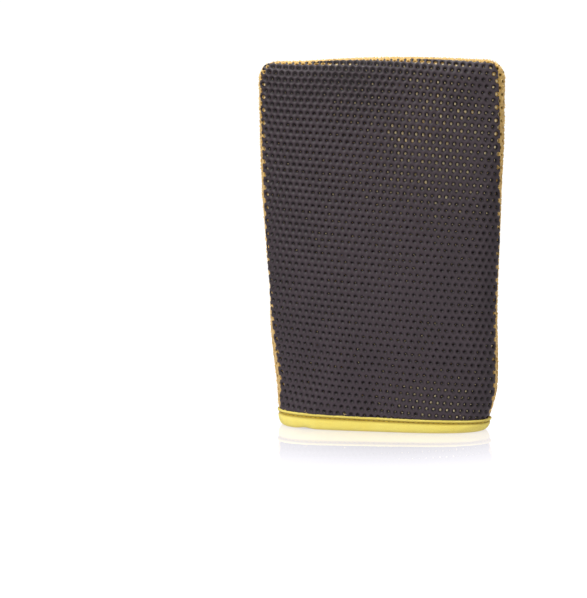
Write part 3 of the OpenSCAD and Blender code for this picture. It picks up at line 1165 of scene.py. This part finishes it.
front_places, front_outs = rim_places(front_side, 520, 4.5 * MM)
back_places, back_outs = rim_places(back_side, 300, 3 * MM)
places, outs = np.concatenate([front_places, back_places]), np.concatenate([front_outs, back_outs])
outs = outs + rng.normal(0, 0.25, outs.shape)
sizes, turns = rng.uniform(0.6, 1.35, len(places)), rng.uniform(0, math.pi, len(places))
rim_loops = join_copies("rim_yarn_loops", one_loop(), places, map(upright_axes, outs, turns), sizes)

# %% [markdown]
# Above the binding the knit's cut edge shows as a few loose ends. They come in small bunches, so each bunch has
# its place along the mouth and its number of ends.

# %% Stray ends above the binding
BUNCHES = ((-65, 5), (-61.5, 5), (-45.5, 6), (-20, 7), (24, 3), (55, 3))  # place across in mm, number of ends
low_row = int(np.searchsorted(front_side.b_grid, 10.6 * MM))
across_row = front_side.place[low_row, :, 0]
places, outs = [], []
for x, count in BUNCHES:
    for _ in range(count):
        a = np.interp(x * MM + rng.normal(0, 0.7) * MM, across_row, A_GRID)
        spot = np.array([[a, 10.4 * MM + rng.normal(0, 0.2) * MM, 0.5 * MM]])
        off_cloth = front_side.look_up(front_side.out, spot[:, 0], spot[:, 1])[0]
        places.append(front_side.wrap(spot)[0])
        outs.append(off_cloth * 0.7 + (0, 0, 1) + rng.normal(0, 0.35, 3))
sizes, turns = rng.uniform(0.6, 1.1, len(places)), rng.uniform(0, 6.28, len(places))
stray_ends = join_copies("stray_yarn_ends", one_stray_end(), places, map(upright_axes, outs, turns), sizes)

# %% [markdown]
# ## Finishes
#
# Cloth and clay are both mottled at every scale. Two node groups give that: one makes soft patches, fine grain
# and specks, the other the rows of little loops that make up a knit. Each finish sets them to its own size.


# %% Small helpers for nodes
def calculate(tree, operation, first, second=None, third=None):
    """A Math node's result; each value is a number or another node's output."""
    node = add_node(tree, "Math", operation=operation)
    for socket, value in zip(node.inputs, (first, second, third)):
        if isinstance(value, (int, float)):
            socket.default_value = value
        elif value is not None:
            tree.links.new(value, socket)
    return node.outputs[0]


def range_of(tree, value, low, high, start=0.0, end=1.0):
    """Spreads a value that runs from start to end over low to high, and holds it there."""
    node = add_node(tree, "MapRange", From_Min=start, From_Max=end, To_Min=low, To_Max=high)
    tree.links.new(value, node.inputs["Value"])
    return node.outputs[0]


def new_group(name, inputs, outputs):
    group = bpy.data.node_groups.new(name, "ShaderNodeTree")
    group.interface.new_socket("Place", in_out="INPUT", socket_type="NodeSocketVector")
    for title, default in inputs.items():
        group.interface.new_socket(title, in_out="INPUT", socket_type="NodeSocketFloat").default_value = default
    for title in outputs:
        group.interface.new_socket(title, in_out="OUTPUT", socket_type="NodeSocketFloat")
    print("The group", name, "gives", ", ".join(outputs))
    return group, group.nodes.new("NodeGroupInput").outputs, group.nodes.new("NodeGroupOutput").inputs


# %% A group for soft patches and fine grain
patches, given, made = new_group(
    "patches_and_grain", {"Patch Scale": 40.0, "Grain Scale": 900.0}, ("Patches", "Grain", "Speckles")
)
soft = add_node(patches, "TexNoise", Detail=4.0, Roughness=0.55)
fine = add_node(patches, "TexNoise", Detail=6.0, Roughness=0.7)
dots = add_node(patches, "TexVoronoi", Randomness=1.0)
for texture, size in ((soft, "Patch Scale"), (fine, "Grain Scale"), (dots, "Grain Scale")):
    link(patches, (given["Place"], texture.inputs["Vector"]), (given[size], texture.inputs["Scale"]))
link(
    patches,
    (range_of(patches, soft.outputs[0], 0.0, 1.0, start=0.3, end=0.7), made["Patches"]),
    (fine.outputs[0], made["Grain"]),
    (range_of(patches, dots.outputs["Distance"], 0.0, 1.0, start=0.12, end=0.03), made["Speckles"]),
)

# %% A group for the loops of a knit
knit, given, made = new_group("knit_loops", {"Across": 150.0, "Up": 200.0}, ("Height", "Gaps"))
split = add_node(knit, "SeparateXYZ")
link(knit, (given["Place"], split.inputs[0]))
wale = calculate(knit, "MULTIPLY", split.outputs[0], given["Across"])
course = calculate(knit, "MULTIPLY", split.outputs[1], given["Up"])
leg = calculate(knit, "PINGPONG", wale, 0.5)
slant = calculate(knit, "MULTIPLY_ADD", leg, 1.3, course)
bead = calculate(knit, "PINGPONG", slant, 0.5)
round_leg = calculate(knit, "SINE", calculate(knit, "MULTIPLY", leg, 2 * math.pi))
round_bead = calculate(knit, "SINE", calculate(knit, "MULTIPLY", bead, math.pi))
height = calculate(knit, "MULTIPLY", round_leg, round_bead)
# Gaps is 1 between the loops, where the cloth finishes paint shade
link(knit, (height, made["Height"]), (calculate(knit, "SUBTRACT", 1.0, height), made["Gaps"]))


# %% A finish made of groups
def new_finish(name):
    material = bpy.data.materials.new(name)
    material.use_nodes = True
    tree = material.node_tree
    print("Making the finish", name)
    return material, tree, tree.nodes["Principled BSDF"]


def set_sockets(node, **values):
    for name, value in values.items():
        node.inputs[name.replace("_", " ")].default_value = value


def use_group(tree, group, place, **values):
    node = tree.nodes.new("ShaderNodeGroup")
    node.node_tree = group
    tree.links.new(place, node.inputs["Place"])
    set_sockets(node, **values)
    return node.outputs


def blend_colors(tree, share, first, second):
    """Mixes two colours, each a tuple or another node's output; a share of 0 gives the first."""
    node = add_node(tree, "Mix", data_type="RGBA")
    for socket, value in ((node.inputs[0], share), (node.inputs[6], first), (node.inputs[7], second)):
        if isinstance(value, tuple):
            socket.default_value = (*value, 1)
        else:
            tree.links.new(value, socket)
    return node.outputs[2]


def part_of(tree, value, most):
    """A mask made weaker."""
    return calculate(tree, "MULTIPLY", value, most)


def set_surface(tree, shader, color, grain, dull, dullest):
    """Colours the surface and lets its grain vary how dull it is."""
    tree.links.new(color, shader.inputs["Base Color"])
    tree.links.new(range_of(tree, grain, dull, dullest), shader.inputs["Roughness"])


def add_bump(tree, shader, *layers):
    """Stacks bumps: each layer is a height, its strength and its depth in metres."""
    under = None
    for height, strength, depth in layers:
        bump = add_node(tree, "Bump", Strength=strength, Distance=depth)
        tree.links.new(height, bump.inputs["Height"])
        if under:
            tree.links.new(under, bump.inputs["Normal"])
        under = bump.outputs[0]
    tree.links.new(under, shader.inputs["Normal"])


def place_of(tree):
    return add_node(tree, "TexCoord").outputs["Object"]


def height_of(tree):
    return add_node(tree, "Attribute", attribute_name="height").outputs["Fac"]


# %% [markdown]
# The clay is a dense grey polymer with a satin skin. Its colour is painted darker down in the holes, as shade,
# and its crests carry a faint cool painted highlight.

# %% Grey clay polymer
clay_finish, tree, shader = new_finish("grey_clay_polymer")
spots = use_group(tree, patches, place_of(tree), Patch_Scale=55.0, Grain_Scale=1500.0)
high = height_of(tree)
body = blend_colors(tree, spots["Patches"], (0.0104, 0.0058, 0.0078), (0.0160, 0.0096, 0.0127))
# painted shade: the colour darkens down in the holes, by the height attribute
pits = blend_colors(tree, high, (0.0068, 0.0040, 0.0042), body)
# painted highlight: a faint cool lighter colour on the crests
crest_painted_highlight = blend_colors(tree, part_of(tree, calculate(tree, "POWER", high, 6.0), 0.42), pits, (0.066, 0.048, 0.059))
dust = blend_colors(tree, part_of(tree, spots["Speckles"], 0.25), crest_painted_highlight, (0.09, 0.075, 0.075))
set_surface(tree, shader, dust, spots["Grain"], 0.42, 0.62)
set_sockets(shader, Specular_IOR_Level=0.25)
add_bump(tree, shader, (spots["Patches"], 0.25, 0.0006), (spots["Grain"], 0.35, 0.00012))


# %% [markdown]
# The three cloths and the thread are the same polyester in different knits, so one function makes them all.
# Light catches the fuzz at the edges, which is what sheen is for. The gaps between loops get a darker, more
# saturated painted shade, as do the knit's eyelet hollows and the tape's groove.

# %% Knitted and woven finishes
def cloth_finish(name, low, high, gap_shade, across, up, depth, fuzz=0.25, hollows=False):
    """A knit with so many loops a metre across and up; its patches run from low to high. Painted shade darkens its
    gaps between loops and, if asked, its low places by the height attribute.
    """
    material, tree, shader = new_finish(name)
    on_cloth = add_node(tree, "UVMap", uv_map="flat_cloth").outputs[0]
    spots = use_group(tree, patches, place_of(tree), Patch_Scale=90.0, Grain_Scale=2600.0)
    loops = use_group(tree, knit, on_cloth, Across=across, Up=up)
    body = blend_colors(tree, spots["Patches"], low, high)
    # painted shade: the gaps between the loops get a darker, more saturated colour
    body = blend_colors(tree, part_of(tree, loops["Gaps"], 0.4), body, gap_shade)
    # painted shade: the low places of the knit and the tape's groove, by the height attribute
    if hollows:
        body = blend_colors(tree, height_of(tree), gap_shade, body)
    set_surface(tree, shader, body, spots["Grain"], 0.78, 0.95)
    set_sockets(shader, Sheen_Weight=fuzz, Sheen_Roughness=0.45, Specular_IOR_Level=0.2)
    add_bump(tree, shader, (loops["Height"], 0.8, depth), (spots["Grain"], 0.5, 0.0002))
    return material


knit_finish = cloth_finish(
    "yellow_eyelet_knit", (0.68, 0.435, 0.10), (0.79, 0.54, 0.165), (0.28, 0.13, 0.01),
    across=130.0, up=170.0, depth=0.0004, hollows=True,
)
lining_finish = cloth_finish(
    "yellow_tricot_lining", (0.74, 0.58, 0.2), (0.8, 0.65, 0.27), (0.5, 0.34, 0.08),
    across=160.0, up=220.0, depth=0.0002,
)
tape_finish = cloth_finish(
    "yellow_binding_knit", (0.96, 0.79, 0.155), (0.98, 0.86, 0.21), (0.3, 0.18, 0.0),
    across=140.0, up=190.0, depth=0.0004, fuzz=0.12, hollows=True,
)
thread_finish = cloth_finish(
    "yellow_thread", (0.66, 0.47, 0.03), (0.74, 0.55, 0.06), (0.5, 0.34, 0.01),
    across=300.0, up=90.0, depth=0.0001,
)

# %% [markdown]
# Loose yarn is paler than the knit, because light passes through its thin fibres. It has no loops of its own, so
# patches and grain are enough.

# %% Yellow fuzz
fuzz_finish, tree, shader = new_finish("yellow_yarn_fuzz")
spots = use_group(tree, patches, place_of(tree), Patch_Scale=400.0, Grain_Scale=3000.0)
yarn = blend_colors(tree, spots["Patches"], (0.76, 0.51, 0.13), (0.92, 0.72, 0.32))
set_surface(tree, shader, yarn, spots["Grain"], 0.75, 0.95)
set_sockets(shader, Sheen_Weight=0.3)
add_bump(tree, shader, (spots["Grain"], 0.4, 0.00008))

# %% [markdown]
# The foam is a cream, open-celled sponge, dull all over. Specks a little darker than the rest are its open cells.

# %% Cream foam
foam_finish, tree, shader = new_finish("cream_foam")
spots = use_group(tree, patches, place_of(tree), Patch_Scale=60.0, Grain_Scale=1900.0)
cells = blend_colors(tree, spots["Speckles"], (0.95, 0.82, 0.5), (0.75, 0.58, 0.3))
cells = blend_colors(tree, part_of(tree, spots["Patches"], 0.4), cells, (0.9, 0.74, 0.4))
set_surface(tree, shader, cells, spots["Grain"], 0.85, 1.0)
add_bump(tree, shader, (spots["Speckles"], 0.6, 0.0002))

# %% [markdown]
# The table top is glossy white acrylic that is lit from below. It shows a faint sharp reflection of the mitt and
# hardly any shadow. Far from the mitt it fades into the white room.

# %% White table top
floor_finish, tree, shader = new_finish("white_table_top")
set_sockets(
    shader,
    Base_Color=(0.12, 0.12, 0.12, 1),
    Roughness=1.0,
    Specular_IOR_Level=0.0,
    Emission_Color=(0.96, 0.945, 1.0, 1),
)
seen_directly = add_node(tree, "LightPath").outputs["Is Camera Ray"]
away_from = add_node(tree, "VectorMath", operation="LENGTH")
link(tree, (place_of(tree), away_from.inputs[0]))
far = away_from.outputs["Value"]
mirror = add_node(tree, "BsdfGlossy", Color=(0.94, 0.92, 1.0, 1), Roughness=0.0)
clear = add_node(tree, "BsdfTransparent")
polish, fade = add_node(tree, "MixShader"), add_node(tree, "MixShader")
link(
    tree,
    (range_of(tree, seen_directly, 0.98, 1.067), shader.inputs["Emission Strength"]),
    (range_of(tree, far, 0.5, 0.0, start=0.03, end=0.225), polish.inputs[0]),
    (shader.outputs[0], polish.inputs[1]),
    (mirror.outputs[0], polish.inputs[2]),
    (range_of(tree, far, 0.0, 1.0, start=0.3, end=0.7), fade.inputs[0]),
    (polish.outputs[0], fade.inputs[1]),
    (clear.outputs[0], fade.inputs[2]),
    (fade.outputs[0], tree.nodes["Material Output"].inputs["Surface"]),
)

# %% [markdown]
# ## Tying the pieces to the frame
#
# Every piece gets its finish and rides on the mitt's one body. It stands in for the imported node it was made
# from, which is hidden. The fuzz is listed with the front knit's node.

# %% Dress every piece and hide the CAD node it stands for
PIECES = (
    (clay_face, clay_finish, "clay_face", "clay_polymer"),
    (front_mesh, knit_finish, "front_mesh", "knit_mesh"),
    (rim_loops, fuzz_finish, "front_mesh", "knit_mesh"),
    (stray_ends, fuzz_finish, "front_mesh", "knit_mesh"),
    (front_pad, foam_finish, "front_pad", "foam"),
    (front_lining, lining_finish, "front_lining", "lining_cloth"),
    (back_mesh, knit_finish, "back_mesh", "knit_mesh"),
    (back_pad, foam_finish, "back_pad", "foam"),
    (back_lining, lining_finish, "back_lining", "lining_cloth"),
    (shell_thread, thread_finish, "shell_seam_thread", "sewing_thread"),
    (lining_thread, thread_finish, "lining_seam_thread", "sewing_thread"),
    (binding, tape_finish, "cuff_binding", "binding_tape"),
    (topstitch, thread_finish, "cuff_topstitch", "sewing_thread"),
    (inside_stitch, thread_finish, "cuff_inside_stitch", "sewing_thread"),
)
for piece, finish, node, slot in PIECES:
    piece.data.materials.clear()
    piece.data.materials.append(finish)
    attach(piece, "root")
    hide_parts(node)
table_top.data.materials.append(floor_finish)
print(len(PIECES), "pieces ride on the frame")
